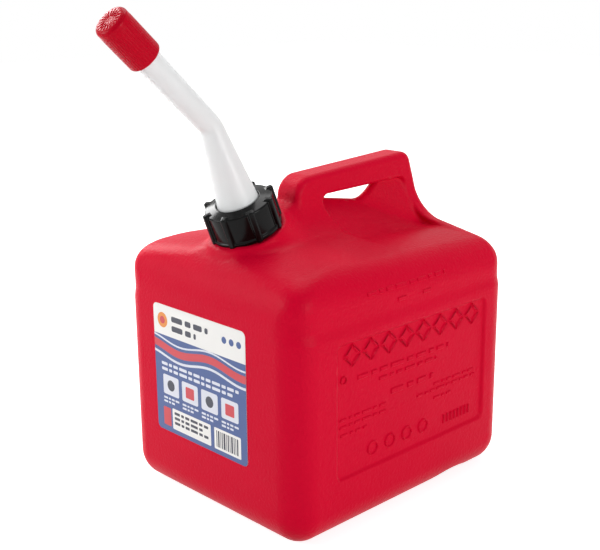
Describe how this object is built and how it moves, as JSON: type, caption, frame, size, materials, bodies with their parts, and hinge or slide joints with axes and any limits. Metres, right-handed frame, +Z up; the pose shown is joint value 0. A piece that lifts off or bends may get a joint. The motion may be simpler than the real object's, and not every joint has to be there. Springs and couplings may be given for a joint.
{
  "type": "safety gas can",
  "caption": "Red blow-moulded fuel can with an integral top handle, a tilted threaded neck, a lugged collar, a bent pouring spout with a ribbed cap, and a flame arrestor in the neck.",
  "frame": {"origin": "middle of the can's base, on the surface that it stands on", "axes": "+Z up; the front with the label and the spout faces -Y; +X is the can's left side seen from behind"},
  "size_m": [0.196, 0.3111, 0.3753],
  "materials": {
    "can_red": "satin blow-moulded polyethylene with a fine pebbled skin",
    "label_film": "printed film, satin",
    "arrestor_black": "moulded, satin",
    "wire_screen": "woven wire",
    "gasket_rubber": "matt",
    "spout_natural": "natural polyethylene, slightly translucent, satin",
    "collar_black": "moulded, glossy",
    "cap_red": "moulded, glossy",
    "liner_foam": "closed-cell foam, matt"
  },
  "bodies": {
    "can": {"can_shell": "can_red", "front_label": "label_film", "arrestor_frame": "arrestor_black", "arrestor_screen": "wire_screen", "arrestor_end_screen": "wire_screen"},
    "neck_seal": {"neck_gasket": "gasket_rubber"},
    "collar": {"collar": "collar_black"},
    "spout": {"spout": "spout_natural"},
    "cap_seal": {"cap_liner": "liner_foam"},
    "inner_cap": {"cap_inner": "cap_red"},
    "outer_cap": {"cap_outer": "cap_red"}
  },
  "joints": [
    {"name": "collar_rise", "type": "slide", "parent": "can", "child": "neck_seal", "axis": [0, -0.3746, 0.9272], "range_m": [0, 0.008]},
    {"name": "collar_turn", "type": "hinge", "parent": "neck_seal", "child": "collar", "pos_m": [0, -0.0732, 0.2125], "axis": [0, -0.3746, 0.9272], "range_deg": [0, 720]},
    {"name": "spout_swivel", "type": "hinge", "parent": "neck_seal", "child": "spout", "pos_m": [0, -0.0732, 0.2125], "axis": [0, -0.3746, 0.9272], "continuous": true},
    {"name": "cap_rise", "type": "slide", "parent": "spout", "child": "cap_seal", "axis": [0, -0.7278, 0.6858], "range_m": [0, 0.0045]},
    {"name": "cap_turn", "type": "hinge", "parent": "cap_seal", "child": "inner_cap", "pos_m": [0, -0.10572, 0.29298], "axis": [0, -0.7278, 0.6858], "range_deg": [0, 540]},
    {"name": "cap_push", "type": "slide", "parent": "inner_cap", "child": "outer_cap", "axis": [0, 0.7278, -0.6858], "range_m": [0, 0.0015], "stiffness_N_per_m": 1500, "springref_m": -0.001}
  ],
  "couplings": [
    {"joint": "collar_rise", "follows": "collar_turn", "m_per_rad": 0.0006366},
    {"joint": "cap_rise", "follows": "cap_turn", "m_per_rad": 0.0004774}
  ]
}
